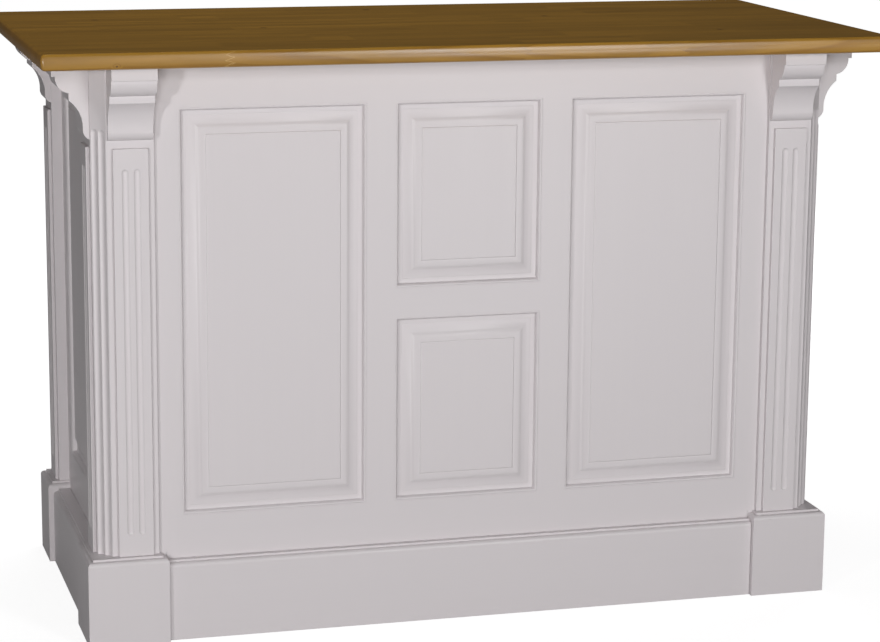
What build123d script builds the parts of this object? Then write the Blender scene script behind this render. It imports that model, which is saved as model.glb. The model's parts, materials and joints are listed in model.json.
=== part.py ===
"""Bar counter: a painted framed base with raised panels, fluted corner posts and corbels under a pine top.

Millimetres. Z is up, the front faces -Y, and the origin is on the floor under the middle of the top.
"""

import os

from build123d import *

# Overall size
HEIGHT = 1100.0
TOP_LENGTH = 1600.0
TOP_DEPTH = 800.0
TOP_THICK = 30.0
TOP_ROUND = 5.0
TOP_CORNER = 6.0
STAVES = 6
END_OVERHANG = 75.0
FRONT_OVERHANG = 72.5
REAR_OVERHANG = 47.5

# Plinth
BLOCK = 150.0
REAR_BLOCK_DEPTH = 120.0
BLOCK_HEIGHT = 165.0
PLINTH_HEIGHT = 152.0
PLINTH_SETBACK = 10.0
MOULD_DEPTH = 10.0
MOULD_HEIGHT = 12.0
MOULD_STEP = 4.0
MOULD_LEDGE = 2.0
KICK_THICK = 25.0

# Corner posts, fluted boards and corbels
POST_FACE = 86.0
CANT = 25.0
CANT_FLUTE = 14.5
CANT_FLUTE_DEPTH = 3.0
CANT_FLUTE_PITCH = 16.0
CANT_FLUTE_RISE = 20.0
BLOCK_MARGIN = 18.0
BOARD_THICK = 6.5
BOARD_WIDTH = 64.0
FLUTE = 12.0
FLUTE_DEPTH = 2.5
FLUTE_PITCH = 21.5
FLUTE_TOP_GAP = 37.0
FLUTE_FOOT_GAP = 40.0
CORBEL_WIDTH = 82.0
CORBEL_HEIGHT = 137.0
CORBEL_REACH = 66.0
CORBEL_FASCIA = 23.5
CORBEL_STEP = 6.5
CORBEL_QUIRK = 2.5
CORBEL_FILLET = 36.0
CORBEL_FILLET_TOP = 53.5
CORBEL_FILLET_FOOT = 66.5
CORBEL_NECK = 11.5
CORBEL_COVE_FOOT = 115.0
CORBEL_BEAD_TOP = 120.5
NECK_BAND = 14.0
KEY_WIDE = 44.0
KEY_THICK = 10.0
KEY_DEEP = 20.0
KEY_DROP = 30.0
POST_TENON = 50.0
POST_TENON_DEEP = 40.0

# Frames and panels
FRAME_THICK = 25.0
POST_PROUD = 8.0
SIDE_RECESS = 20.0
STILE = 46.0
MUNTIN = 56.0
CENTRE_OPENING = 280.0
TOP_RAIL = 82.0
BOTTOM_RAIL_SHOW = 82.0
MID_RAIL = 57.5
MID_RAIL_RISE = 2.75
FRAME_LAP = 42.0
GROOVE = 9.0
GROOVE_DEEP = 10.0
GROOVE_SET = 12.0
TONGUE = 8.0
TONGUE_LONG = 10.0
PANEL_IN_GROOVE = 8.0
FIELD_SET = 2.0
HOLLOW_SET = 15.0
HOLLOW_RIM = 1.2
HOLLOW_WIDE = 28.5
HOLLOW_FALL = 0.25
FIELD_FILLET = 5.0
FIELD_ROUND = 3.0
BEAD_WIDE = 12.5
BEAD_HIGH = 10.2
BEAD_LIP = 2.0
BEAD_QUIRK = 1.2
BEAD_FOOT = 1.5
BEAD_FILLET = 1.6

# Inside and back
SHEET = 18.0
HOUSING = 6.0
SHELF_SPACE = 417.0
SHELF_SET = 8.0
PIN = 8.0
PIN_LONG = 20.0
PIN_DEEP = 8.0
PIN_INSET = 48.0
REAR_RAIL = 70.0
RAIL_TENON = 25.0
RAIL_TENON_THICK = 15.0
RAIL_TENON_HIGH = 50.0
CLEAT = 25.0
CLEAT_LONG = 200.0
CLEAT_OFFSET = 300.0

# Clearances
FIT = 0.1
SLIP = 0.2
EASY = 0.5
MITRE_GAP = 0.1

# Planes that everything seats on
UNDER_TOP = HEIGHT - TOP_THICK
X_BLOCK = TOP_LENGTH / 2 - END_OVERHANG
Y_BLOCK_FRONT = FRONT_OVERHANG - TOP_DEPTH / 2
Y_BLOCK_REAR = TOP_DEPTH / 2 - REAR_OVERHANG
POST = POST_FACE + CANT
X_POST = X_BLOCK - BLOCK_MARGIN - BOARD_THICK
X_POST_INNER = X_POST - POST
Y_POST_FRONT = Y_BLOCK_FRONT + BLOCK_MARGIN + BOARD_THICK
Y_POST_BACK = Y_POST_FRONT + POST
BLOCK_LEDGE = BLOCK - BLOCK_MARGIN - BOARD_THICK - POST
X_BLOCK_INNER = X_BLOCK - BLOCK
Y_FRONT_BLOCK_BACK = Y_BLOCK_FRONT + BLOCK
Y_REAR_BLOCK_FRONT = Y_BLOCK_REAR - REAR_BLOCK_DEPTH
Y_REAR_POST_FRONT = Y_REAR_BLOCK_FRONT + BLOCK_LEDGE
Y_REAR_POST_BACK = Y_REAR_POST_FRONT + POST_FACE
Y_FRAME = Y_POST_FRONT + POST_PROUD
Y_FRAME_BACK = Y_FRAME + FRAME_THICK
X_SIDE = X_POST - SIDE_RECESS
X_SIDE_BACK = X_SIDE - FRAME_THICK
Y_SIDE_MID = (Y_POST_BACK + Y_REAR_POST_FRONT) / 2
SIDE_HALF = (Y_REAR_POST_FRONT - Y_POST_BACK) / 2
X_FACE_MID = X_POST_INNER + POST_FACE / 2
Y_FACE_MID = Y_POST_BACK - POST_FACE / 2
Y_REAR_FACE_MID = Y_REAR_POST_FRONT + POST_FACE / 2
OPENING_OUT = X_POST_INNER - STILE
CENTRE_HALF = CENTRE_OPENING / 2
OPENING_IN = CENTRE_HALF + MUNTIN
OPENING_TOP = UNDER_TOP - TOP_RAIL
OPENING_FOOT = PLINTH_HEIGHT + BOTTOM_RAIL_SHOW
MID_RAIL_FOOT = (OPENING_FOOT + OPENING_TOP - MID_RAIL) / 2 + MID_RAIL_RISE
MID_RAIL_TOP = MID_RAIL_FOOT + MID_RAIL
FRAME_FOOT = PLINTH_HEIGHT - FRAME_LAP
TALL_WIDTH = OPENING_OUT - OPENING_IN
TALL_HEIGHT = OPENING_TOP - OPENING_FOOT
BOARD_TOP = UNDER_TOP - CORBEL_HEIGHT - NECK_BAND
FLOOR_TOP = BLOCK_HEIGHT + SHEET
SHELF_UNDERSIDE = FLOOR_TOP + SHELF_SPACE
Y_KICK = Y_REAR_POST_BACK - KICK_THICK
GROOVE_SPAN = (GROOVE_SET, GROOVE_SET + GROOVE)
TONGUE_SPAN = ((FRAME_THICK - TONGUE) / 2, (FRAME_THICK + TONGUE) / 2)

FRONT = Location((0, Y_FRAME, 0))
LEFT = Location((-X_SIDE, Y_SIDE_MID, 0), (0, 0, -90))
RIGHT = Location((X_SIDE, Y_SIDE_MID, 0), (0, 0, 90))

os.makedirs("parts", exist_ok=True)


def save(part, node):
    """Label a piece and write it to its own file."""
    part.label = node
    export_step(part, f"parts/{node}.step")


def widen(span, by):
    """A (low, high) pair made larger by the same amount at both ends."""
    return (min(span) - by, max(span) + by)


def slab(x, y, z, mode=Mode.ADD):
    """Add or cut a square block spanning three (low, high) pairs."""
    spans = [(min(s), max(s)) for s in (x, y, z)]
    with Locations(tuple((a + b) / 2 for a, b in spans)):
        Box(*(b - a for a, b in spans), mode=mode)


def mirrored(span, side):
    """A span on the right, or its mirror image when side is -1."""
    return tuple(side * v for v in span)


# Worktop
def worktop_stave(index):
    """One glued stave, with its outer edges rounded over."""
    depth = TOP_DEPTH / STAVES
    low = -TOP_DEPTH / 2 + index * depth
    with BuildPart() as stave:
        slab((-TOP_LENGTH / 2, TOP_LENGTH / 2), (low, low + depth), (UNDER_TOP, HEIGHT))
        outer = {0: low, STAVES - 1: low + depth}.get(index)
        if outer is not None:
            corners = stave.edges().filter_by(Axis.Z).filter_by_position(Axis.Y, outer - EASY, outer + EASY)
            fillet(corners, TOP_CORNER)
        flat = stave.edges().filter_by_position(Axis.Z, HEIGHT - EASY, HEIGHT + EASY)
        flat += stave.edges().filter_by_position(Axis.Z, UNDER_TOP - EASY, UNDER_TOP + EASY)
        seams = [v for v in (low, low + depth) if v != outer]
        rim = [e for e in flat if all(abs(e.center().Y - v) > EASY for v in seams)]
        fillet(rim, TOP_ROUND)
    return stave.part


save(worktop_stave(0), "worktop_front_stave")
save(worktop_stave(STAVES - 1), "worktop_rear_stave")
save(Compound([worktop_stave(i) for i in range(1, STAVES - 1)]), "worktop_middle_staves")


# Edge moulding of the plinth, drawn as the waste that is cut away
def mould_waste(start, length, along, outward, top):
    """Waste above a stepped ovolo that runs from start in the along direction on an edge facing outward."""
    corner = Vector(start[0], start[1], top)
    section = Plane(corner, x_dir=outward, z_dir=along)
    rise = section.y_dir.Z
    with BuildPart() as waste:
        with BuildSketch(section):
            with BuildLine():
                inner = (-MOULD_DEPTH, 0)
                step = (-MOULD_DEPTH, -MOULD_STEP * rise)
                ledge = (-MOULD_DEPTH + MOULD_LEDGE, -MOULD_STEP * rise)
                face = (0, -MOULD_HEIGHT * rise)
                Polyline((0, 0), inner, step, ledge)
                TangentArc(ledge, face, tangent=(1, 0))
                Line(face, (0, 0))
            make_face()
        extrude(amount=length)
    return waste.part


def plinth_block(side, rear):
    """A corner block, moulded where it stands proud, with a mortise for its post."""
    x = mirrored((X_BLOCK_INNER, X_BLOCK), side)
    y = (Y_REAR_BLOCK_FRONT, Y_BLOCK_REAR) if rear else (Y_BLOCK_FRONT, Y_FRONT_BLOCK_BACK)
    post_y = Y_REAR_FACE_MID if rear else (Y_POST_FRONT + Y_POST_BACK) / 2
    post_x = side * (X_POST_INNER + X_POST) / 2
    out = Vector(side, 0, 0)
    back = Vector(0, 1, 0)
    proud = X_BLOCK - X_SIDE
    with BuildPart() as block:
        slab(x, y, (0, BLOCK_HEIGHT))
        hole = POST_TENON / 2 + FIT
        with Locations((post_x, post_y, BLOCK_HEIGHT - (POST_TENON_DEEP + EASY) / 2)):
            Box(2 * hole, 2 * hole, POST_TENON_DEEP + EASY, mode=Mode.SUBTRACT)
        add(mould_waste((x[1], y[0]), y[1] - y[0], back, out, BLOCK_HEIGHT), mode=Mode.SUBTRACT)
        if rear:
            add(mould_waste((x[1], y[0]), proud, -out, -back, BLOCK_HEIGHT), mode=Mode.SUBTRACT)
            add(mould_waste((x[1], y[1]), BLOCK, -out, back, BLOCK_HEIGHT), mode=Mode.SUBTRACT)
        else:
            add(mould_waste((x[1], y[0]), BLOCK, -out, -back, BLOCK_HEIGHT), mode=Mode.SUBTRACT)
            add(mould_waste((x[0], y[0]), Y_FRAME - y[0], back, -out, BLOCK_HEIGHT), mode=Mode.SUBTRACT)
            add(mould_waste((x[1], y[1]), proud, -out, back, BLOCK_HEIGHT), mode=Mode.SUBTRACT)
    return block.part


def side_plinth(side):
    """A side plinth board that fills the space in front of the recessed side frame."""
    face = X_BLOCK - PLINTH_SETBACK
    y = (Y_FRONT_BLOCK_BACK, Y_REAR_BLOCK_FRONT)
    with BuildPart() as plinth:
        slab(mirrored((X_SIDE, face), side), y, (0, PLINTH_HEIGHT))
        back, out = Vector(0, 1, 0), Vector(side, 0, 0)
        add(mould_waste((side * face, y[0]), y[1] - y[0], back, out, PLINTH_HEIGHT), mode=Mode.SUBTRACT)
    return plinth.part


for side, hand in ((-1, "left"), (1, "right")):
    save(plinth_block(side, False), f"plinth_block_front_{hand}")
    save(plinth_block(side, True), f"plinth_block_rear_{hand}")
    save(side_plinth(side), f"plinth_side_{hand}")

with BuildPart() as plinth_front:
    front = Y_BLOCK_FRONT + PLINTH_SETBACK
    slab((-X_BLOCK_INNER, X_BLOCK_INNER), (front, Y_FRAME), (0, PLINTH_HEIGHT))
    along, out = Vector(1, 0, 0), Vector(0, -1, 0)
    run = mould_waste((-X_BLOCK_INNER, front), 2 * X_BLOCK_INNER, along, out, PLINTH_HEIGHT)
    add(run, mode=Mode.SUBTRACT)
save(plinth_front.part, "plinth_front")

with BuildPart() as kick_rail:
    slab((-X_BLOCK_INNER, X_BLOCK_INNER), (Y_KICK, Y_REAR_POST_BACK), (0, BLOCK_HEIGHT))
save(kick_rail.part, "rear_kick_rail")


# Corner posts
def flute_radius(wide, deep):
    """Radius of the round cutter that leaves a flute of this width and depth."""
    return ((wide / 2) ** 2 + deep**2) / (2 * deep)


def key_spots(side, rear):
    """Places of the loose tenons that hold the corbels of one post, on its outer faces."""
    high = UNDER_TOP - KEY_DROP
    middle = Y_REAR_FACE_MID if rear else Y_FACE_MID
    spots = [Location((side * X_POST, middle, high), (0, 0, 90))]
    if not rear:
        spots.append(Location((side * X_FACE_MID, Y_POST_FRONT, high)))
    return spots


def key_slot():
    """Cut the mortise for a loose tenon, across a face that its length runs through along Y."""
    Box(KEY_WIDE + 2 * FIT, 2 * (KEY_DEEP + EASY), KEY_THICK + 2 * FIT, mode=Mode.SUBTRACT)


def pin_places(x):
    """The front and the rear shelf pin at one x, lying along X."""
    rows = (Y_FRAME_BACK + PIN_INSET, Y_REAR_POST_FRONT + PIN_INSET / 2)
    return [Location((x, y, SHELF_UNDERSIDE - PIN / 2), (0, 90, 0)) for y in rows]


def cant_flutes(x, y, turn):
    """Cut the two flutes of a canted corner, from the block up to a round end behind the corbel feet."""
    radius = flute_radius(CANT_FLUTE, CANT_FLUTE_DEPTH)
    stop = UNDER_TOP - CORBEL_HEIGHT + CANT_FLUTE_RISE - CANT_FLUTE / 2
    with Locations(Location((x, y, BLOCK_HEIGHT), (0, 0, turn))):
        with GridLocations(CANT_FLUTE_PITCH, 0, 2, 1):
            with Locations((0, CANT_FLUTE_DEPTH - radius, 0)):
                foot = (Align.CENTER, Align.CENTER, Align.MIN)
                Cylinder(radius, stop - BLOCK_HEIGHT, align=foot, mode=Mode.SUBTRACT)
                with Locations((0, 0, stop - BLOCK_HEIGHT)):
                    Sphere(radius, mode=Mode.SUBTRACT)


def corner_post(side, rear):
    """A post with grooves for the frames, a foot tenon, and mortises and holes for what it carries."""
    x_in, x_out = side * X_POST_INNER, side * X_POST
    y0, y1 = (Y_REAR_POST_FRONT, Y_REAR_POST_BACK) if rear else (Y_POST_FRONT, Y_POST_BACK)
    side_groove = widen((X_SIDE - TONGUE_SPAN[0], X_SIDE - TONGUE_SPAN[1]), SLIP)
    groove_deep = TONGUE_LONG + EASY
    with BuildPart() as post:
        with BuildSketch(Plane.XY.offset(BLOCK_HEIGHT)):
            if rear:
                Polygon((x_in, y0), (x_out, y0), (x_out, y1), (x_in, y1), align=None)
            else:
                start = (side * (X_POST - CANT), y0)
                Polygon((x_in, y0), start, (x_out, y0 + CANT), (x_out, y1), (x_in, y1), align=None)
        extrude(amount=UNDER_TOP - BLOCK_HEIGHT)
        tall = (BLOCK_HEIGHT, UNDER_TOP)
        if rear:
            slab(mirrored(side_groove, side), (y0, y0 + groove_deep), tall, Mode.SUBTRACT)
            middle = (Y_KICK + Y_REAR_POST_BACK) / 2
            level = UNDER_TOP - REAR_RAIL / 2
            mortise = mirrored((X_POST_INNER, X_POST_INNER + RAIL_TENON + EASY), side)
            wide = widen((middle, middle), RAIL_TENON_THICK / 2 + FIT)
            high = widen((level, level), RAIL_TENON_HIGH / 2 + FIT)
            slab(mortise, wide, high, Mode.SUBTRACT)
        else:
            slab(mirrored(side_groove, side), (y1 - groove_deep, y1), tall, Mode.SUBTRACT)
            front_groove = widen((Y_FRAME + TONGUE_SPAN[0], Y_FRAME + TONGUE_SPAN[1]), SLIP)
            inner = mirrored((X_POST_INNER, X_POST_INNER + groove_deep), side)
            slab(inner, front_groove, tall, Mode.SUBTRACT)
            cant_flutes(side * (X_POST - CANT / 2), y0 + CANT / 2, 45 * side)
        with Locations(((x_in + x_out) / 2, (y0 + y1) / 2, BLOCK_HEIGHT - POST_TENON_DEEP / 2)):
            Box(POST_TENON, POST_TENON, POST_TENON_DEEP)
        with Locations(*key_spots(side, rear)):
            key_slot()
        with Locations(pin_places(x_in)[1 if rear else 0]):
            Cylinder(PIN / 2 + FIT, 2 * (PIN_DEEP + EASY), mode=Mode.SUBTRACT)
    return post.part


# Fluted boards and corbels, drawn flat on the middle of a post face with their front to -Y
def fluted_board():
    """A thin board with two stopped flutes."""
    radius = flute_radius(FLUTE, FLUTE_DEPTH)
    ends = (BLOCK_HEIGHT + FLUTE_FOOT_GAP + FLUTE / 2, BOARD_TOP - FLUTE_TOP_GAP - FLUTE / 2)
    with BuildPart() as board:
        slab((-BOARD_WIDTH / 2, BOARD_WIDTH / 2), (-BOARD_THICK, 0), (BLOCK_HEIGHT, BOARD_TOP))
        with Locations((0, FLUTE_DEPTH - BOARD_THICK - radius, (ends[0] + ends[1]) / 2)):
            with GridLocations(FLUTE_PITCH, 0, 2, 1):
                Cylinder(radius, ends[1] - ends[0], mode=Mode.SUBTRACT)
                with Locations(*((0, 0, s * (ends[1] - ends[0]) / 2) for s in (-1, 1))):
                    Sphere(radius, mode=Mode.SUBTRACT)
    return board.part


def corbel():
    """A corbel of fascia, ovolo, fillet, cove and bead, with a mortise in its back."""
    with BuildPart() as bracket:
        with BuildSketch(Plane((CORBEL_WIDTH / 2, 0, UNDER_TOP), x_dir=(0, -1, 0), z_dir=(-1, 0, 0))):
            with BuildLine():
                shelf = CORBEL_REACH - CORBEL_STEP
                fascia = -CORBEL_FASCIA
                quirk = fascia - CORBEL_QUIRK
                Polyline((0, 0), (CORBEL_REACH, 0), (CORBEL_REACH, fascia), (shelf, fascia), (shelf, quirk))
                TangentArc((shelf, quirk), (CORBEL_FILLET, -CORBEL_FILLET_TOP), tangent=(0, -1))
                Line((CORBEL_FILLET, -CORBEL_FILLET_TOP), (CORBEL_FILLET, -CORBEL_FILLET_FOOT))
                neck = (CORBEL_NECK, -CORBEL_COVE_FOOT)
                TangentArc(neck, (CORBEL_FILLET, -CORBEL_FILLET_FOOT), tangent=(0, 1))
                Line(neck, (CORBEL_NECK, -CORBEL_BEAD_TOP))
                TangentArc((CORBEL_NECK, -CORBEL_BEAD_TOP), (0, -CORBEL_HEIGHT), tangent=(0, -1))
                Line((0, -CORBEL_HEIGHT), (0, 0))
            make_face()
        extrude(amount=CORBEL_WIDTH)
        with Locations((0, 0, UNDER_TOP - KEY_DROP)):
            key_slot()
    return bracket.part


keys = []
for side, hand in ((-1, "left"), (1, "right")):
    save(corner_post(side, False), f"post_front_{hand}")
    save(corner_post(side, True), f"post_rear_{hand}")
    faces = {
        f"front_{hand}": Location((side * X_FACE_MID, Y_POST_FRONT, 0)),
        f"side_front_{hand}": Location((side * X_POST, Y_FACE_MID, 0), (0, 0, 90 * side)),
        f"side_rear_{hand}": Location((side * X_POST, Y_REAR_FACE_MID, 0), (0, 0, 90 * side)),
    }
    for spot, where in faces.items():
        save(where * fluted_board(), f"fluted_board_{spot}")
        save(where * corbel(), f"corbel_{spot}")
    keys += key_spots(side, False) + key_spots(side, True)

with BuildPart() as corbel_tenons:
    with Locations(*keys):
        Box(KEY_WIDE, 2 * KEY_DEEP, KEY_THICK)
save(corbel_tenons.part, "corbel_tenons")


# Frame members, drawn with the frame's face on y = 0 and its back to +Y
def grooves(spans):
    """Cut the panel grooves given as (x, z) pairs of spans."""
    for x, z in spans:
        slab(x, GROOVE_SPAN, z, Mode.SUBTRACT)


def tenons(spans):
    """Add the stub tenons given as (x, z) pairs of spans, which fit the panel grooves."""
    for x, z in spans:
        slab(x, widen(GROOVE_SPAN, -FIT), z)


def floor_housing(x):
    """Cut the housing for the floor board across the back."""
    slab(x, (FRAME_THICK - HOUSING, FRAME_THICK), (BLOCK_HEIGHT, FLOOR_TOP + SLIP), Mode.SUBTRACT)


def stile(side, opening, edge):
    """An outer stile, notched round the plinth block, with a tongue for the post."""
    leg = edge - BLOCK_LEDGE - EASY
    with BuildPart() as upright:
        slab(mirrored((opening, edge), side), (0, FRAME_THICK), (BLOCK_HEIGHT, UNDER_TOP))
        slab(mirrored((opening, leg), side), (0, FRAME_THICK), (FRAME_FOOT, BLOCK_HEIGHT))
        slab(mirrored((edge, edge + TONGUE_LONG), side), TONGUE_SPAN, (BLOCK_HEIGHT, UNDER_TOP))
        grooves([(mirrored((opening, opening + GROOVE_DEEP), side), (FRAME_FOOT, UNDER_TOP))])
        floor_housing(mirrored((opening, edge), side))
    return upright.part


def rail(half, low, high, low_groove, high_groove, housing=False):
    """A rail between two uprights, grooved for panels and tenoned at both ends."""
    reach = half + GROOVE_DEEP - EASY
    with BuildPart() as cross:
        slab((-half, half), (0, FRAME_THICK), (low, high))
        if low_groove:
            grooves([((-half, half), (low, low + GROOVE_DEEP))])
        if high_groove:
            grooves([((-half, half), (high - GROOVE_DEEP, high))])
        tenon_low = low + GROOVE_DEEP if low_groove else low
        tenon_high = high - GROOVE_DEEP if high_groove else high
        tenons([(mirrored((half, reach), s), (tenon_low, tenon_high)) for s in (-1, 1)])
        if housing:
            floor_housing((-reach, reach))
    return cross.part


def muntin(side):
    """An upright between the rails, grooved on both edges."""
    x = mirrored((CENTRE_HALF, OPENING_IN), side)
    inner = (CENTRE_HALF + GROOVE_DEEP, OPENING_IN - GROOVE_DEEP)
    long = GROOVE_DEEP - EASY
    with BuildPart() as upright:
        slab(x, (0, FRAME_THICK), (OPENING_FOOT, OPENING_TOP))
        edges = ((CENTRE_HALF, inner[0]), (inner[1], OPENING_IN))
        grooves([(mirrored(e, side), (OPENING_FOOT, OPENING_TOP)) for e in edges])
        ends = ((OPENING_FOOT - long, OPENING_FOOT), (OPENING_TOP, OPENING_TOP + long))
        tenons([(mirrored(inner, side), z) for z in ends])
    return upright.part


# Raised panels and their bead mouldings, drawn round the middle of an opening
PANEL_TONGUE = GROOVE - 2 * SLIP
PANEL_BACK = GROOVE_SET + GROOVE - SLIP
PANEL_SEAT = PANEL_BACK - PANEL_TONGUE
FIELD_RISE = PANEL_SEAT - FIELD_SET


def panel_outline(half):
    """Draw one section of a raised panel, from its middle line outwards to both edges."""
    edge = half + PANEL_IN_GROOVE
    rim = half - HOLLOW_SET
    fillet_edge = rim - HOLLOW_WIDE
    step = fillet_edge - FIELD_FILLET
    field = step - FIELD_ROUND
    shelf = FIELD_RISE - FIELD_ROUND
    for s in (-1, 1):
        Polyline((s * edge, -PANEL_TONGUE), (s * edge, 0), (s * rim, 0), (s * rim, HOLLOW_RIM))
        TangentArc((s * rim, HOLLOW_RIM), (s * fillet_edge, shelf), tangent=(-s, -HOLLOW_FALL))
        Line((s * fillet_edge, shelf), (s * step, shelf))
        TangentArc((s * step, shelf), (s * field, FIELD_RISE), tangent=(0, 1))
    Line((-field, FIELD_RISE), (field, FIELD_RISE))
    Line((-edge, -PANEL_TONGUE), (edge, -PANEL_TONGUE))


def raised_panel(width, height):
    """A fielded panel: the same coved section across its width and its height, meeting in mitres."""
    up = Plane((0, PANEL_SEAT, 0), x_dir=(0, 0, 1), z_dir=(1, 0, 0))
    across = Plane((0, PANEL_SEAT, 0), x_dir=(1, 0, 0), z_dir=(0, 0, -1))
    with BuildPart() as panel:
        with BuildSketch(up):
            with BuildLine():
                panel_outline(height / 2)
            make_face()
        extrude(amount=width / 2 + PANEL_IN_GROOVE, both=True)
        with BuildSketch(across):
            with BuildLine():
                panel_outline(width / 2)
            make_face()
        extrude(amount=height / 2 + PANEL_IN_GROOVE, both=True, mode=Mode.INTERSECT)
    return panel.part


def bead_stick(length):
    """One mitred bead along X, its outer edge on z = 0 and its back on y = 0."""
    half = length / 2 - MITRE_GAP
    with BuildPart() as stick:
        with BuildSketch(Plane((0, 0, 0), x_dir=(0, 0, 1), z_dir=(1, 0, 0))):
            with BuildLine():
                quirk = (BEAD_LIP, BEAD_HIGH - BEAD_QUIRK)
                foot = (BEAD_WIDE - BEAD_FILLET, BEAD_FOOT)
                Polyline((0, 0), (0, BEAD_HIGH), (BEAD_LIP, BEAD_HIGH), quirk)
                TangentArc(quirk, foot, tangent=(1, 0))
                Polyline(foot, (BEAD_WIDE, BEAD_FOOT), (BEAD_WIDE, 0), (0, 0))
            make_face()
        extrude(amount=half, both=True)
        with BuildSketch(Plane.XZ):
            inner = half - BEAD_WIDE
            Polygon((-half, 0), (half, 0), (inner, BEAD_WIDE), (-inner, BEAD_WIDE), align=None)
        extrude(amount=BEAD_HIGH, mode=Mode.INTERSECT)
    return stick.part


def bead_set(width, height):
    """The four mitred beads of one opening."""
    flat, upright = bead_stick(width), bead_stick(height)
    return [
        Location((0, PANEL_SEAT, -height / 2)) * flat,
        Location((0, PANEL_SEAT, height / 2), (0, 180, 0)) * flat,
        Location((-width / 2, PANEL_SEAT, 0), (0, 90, 0)) * upright,
        Location((width / 2, PANEL_SEAT, 0), (0, -90, 0)) * upright,
    ]


def opening_middle(x, low, high):
    """Location of the middle of an opening in a frame."""
    return Location((x, 0, (low + high) / 2))


# Front frame
for side, hand in ((-1, "left"), (1, "right")):
    save(FRONT * stile(side, OPENING_OUT, X_POST_INNER), f"front_stile_{hand}")
    save(FRONT * muntin(side), f"front_muntin_{hand}")
save(FRONT * rail(OPENING_OUT, OPENING_TOP, UNDER_TOP, True, False), "front_top_rail")
save(FRONT * rail(OPENING_OUT, FRAME_FOOT, OPENING_FOOT, False, True, housing=True), "front_bottom_rail")
save(FRONT * rail(CENTRE_HALF, MID_RAIL_FOOT, MID_RAIL_TOP, True, True), "front_middle_rail")

TALL_X = (OPENING_IN + OPENING_OUT) / 2
UPPER = opening_middle(0, MID_RAIL_TOP, OPENING_TOP)
LOWER = opening_middle(0, OPENING_FOOT, MID_RAIL_FOOT)
TALL = {
    "left": opening_middle(-TALL_X, OPENING_FOOT, OPENING_TOP),
    "right": opening_middle(TALL_X, OPENING_FOOT, OPENING_TOP),
}
UPPER_SIZE = (CENTRE_OPENING, OPENING_TOP - MID_RAIL_TOP)
LOWER_SIZE = (CENTRE_OPENING, MID_RAIL_FOOT - OPENING_FOOT)

tall_panel = raised_panel(TALL_WIDTH, TALL_HEIGHT)
tall_beads = bead_set(TALL_WIDTH, TALL_HEIGHT)
for hand, where in TALL.items():
    save(FRONT * where * tall_panel, f"front_panel_{hand}")
save(FRONT * UPPER * raised_panel(*UPPER_SIZE), "front_panel_upper")
save(FRONT * LOWER * raised_panel(*LOWER_SIZE), "front_panel_lower")
save(Compound([FRONT * where * b for where in TALL.values() for b in tall_beads]), "front_tall_beads")
centre_beads = [FRONT * UPPER * b for b in bead_set(*UPPER_SIZE)]
centre_beads += [FRONT * LOWER * b for b in bead_set(*LOWER_SIZE)]
save(Compound(centre_beads), "front_centre_beads")

# Side frames
SIDE_OPEN_HALF = SIDE_HALF - STILE
SIDE_WIDTH = 2 * SIDE_OPEN_HALF
side_panel = raised_panel(SIDE_WIDTH, TALL_HEIGHT)
side_middle = opening_middle(0, OPENING_FOOT, OPENING_TOP)
side_beads = []
for where, hand, front in ((LEFT, "left", 1), (RIGHT, "right", -1)):
    save(where * stile(front, SIDE_OPEN_HALF, SIDE_HALF), f"side_stile_front_{hand}")
    save(where * stile(-front, SIDE_OPEN_HALF, SIDE_HALF), f"side_stile_rear_{hand}")
    save(where * rail(SIDE_OPEN_HALF, OPENING_TOP, UNDER_TOP, True, False), f"side_top_rail_{hand}")
    bottom_rail = rail(SIDE_OPEN_HALF, FRAME_FOOT, OPENING_FOOT, False, True, housing=True)
    save(where * bottom_rail, f"side_bottom_rail_{hand}")
    save(where * side_middle * side_panel, f"side_panel_{hand}")
    side_beads += [where * side_middle * b for b in bead_set(SIDE_WIDTH, TALL_HEIGHT)]
save(Compound(side_beads), "side_beads")

# Floor, divider and shelves
with BuildPart() as floor_board:
    with BuildSketch(Plane.XY.offset(BLOCK_HEIGHT)):
        wide = X_SIDE_BACK + HOUSING - EASY
        narrow = X_POST_INNER - EASY
        y_low, y_high = Y_FRAME_BACK - HOUSING + EASY, Y_REAR_POST_BACK
        step_low, step_high = Y_POST_BACK + EASY, Y_REAR_POST_FRONT - EASY
        right = [(narrow, y_low), (narrow, step_low), (wide, step_low)]
        right += [(wide, step_high), (narrow, step_high), (narrow, y_high)]
        Polygon(*right, *((-x, y) for x, y in reversed(right)), align=None)
    extrude(amount=SHEET)
    slot = SHEET / 2 + FIT
    slab((-slot, slot), (Y_FRAME_BACK, Y_KICK), (FLOOR_TOP - HOUSING, FLOOR_TOP), Mode.SUBTRACT)
save(floor_board.part, "floor_board")

with BuildPart() as divider:
    slab((-SHEET / 2, SHEET / 2), (Y_FRAME_BACK, Y_KICK), (FLOOR_TOP - HOUSING, UNDER_TOP))
    with Locations(*pin_places(0)):
        Cylinder(PIN / 2 + FIT, 2 * SHEET, mode=Mode.SUBTRACT)
save(divider.part, "centre_divider")

with BuildPart() as shelves:
    for side in (-1, 1):
        span = mirrored((SHEET / 2 + EASY, X_POST_INNER - EASY), side)
        slab(span, (Y_FRAME_BACK + EASY, Y_KICK - SHELF_SET), (SHELF_UNDERSIDE, SHELF_UNDERSIDE + SHEET))
save(shelves.part, "shelves")

with BuildPart() as shelf_pins:
    for side in (-1, 1):
        with Locations(*pin_places(side * (X_POST_INNER + PIN_DEEP - PIN_LONG / 2))):
            Cylinder(PIN / 2, PIN_LONG)
    with Locations(*pin_places(0)):
        Cylinder(PIN / 2, SHEET + 2 * (PIN_LONG - PIN_DEEP))
save(shelf_pins.part, "shelf_pins")

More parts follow.
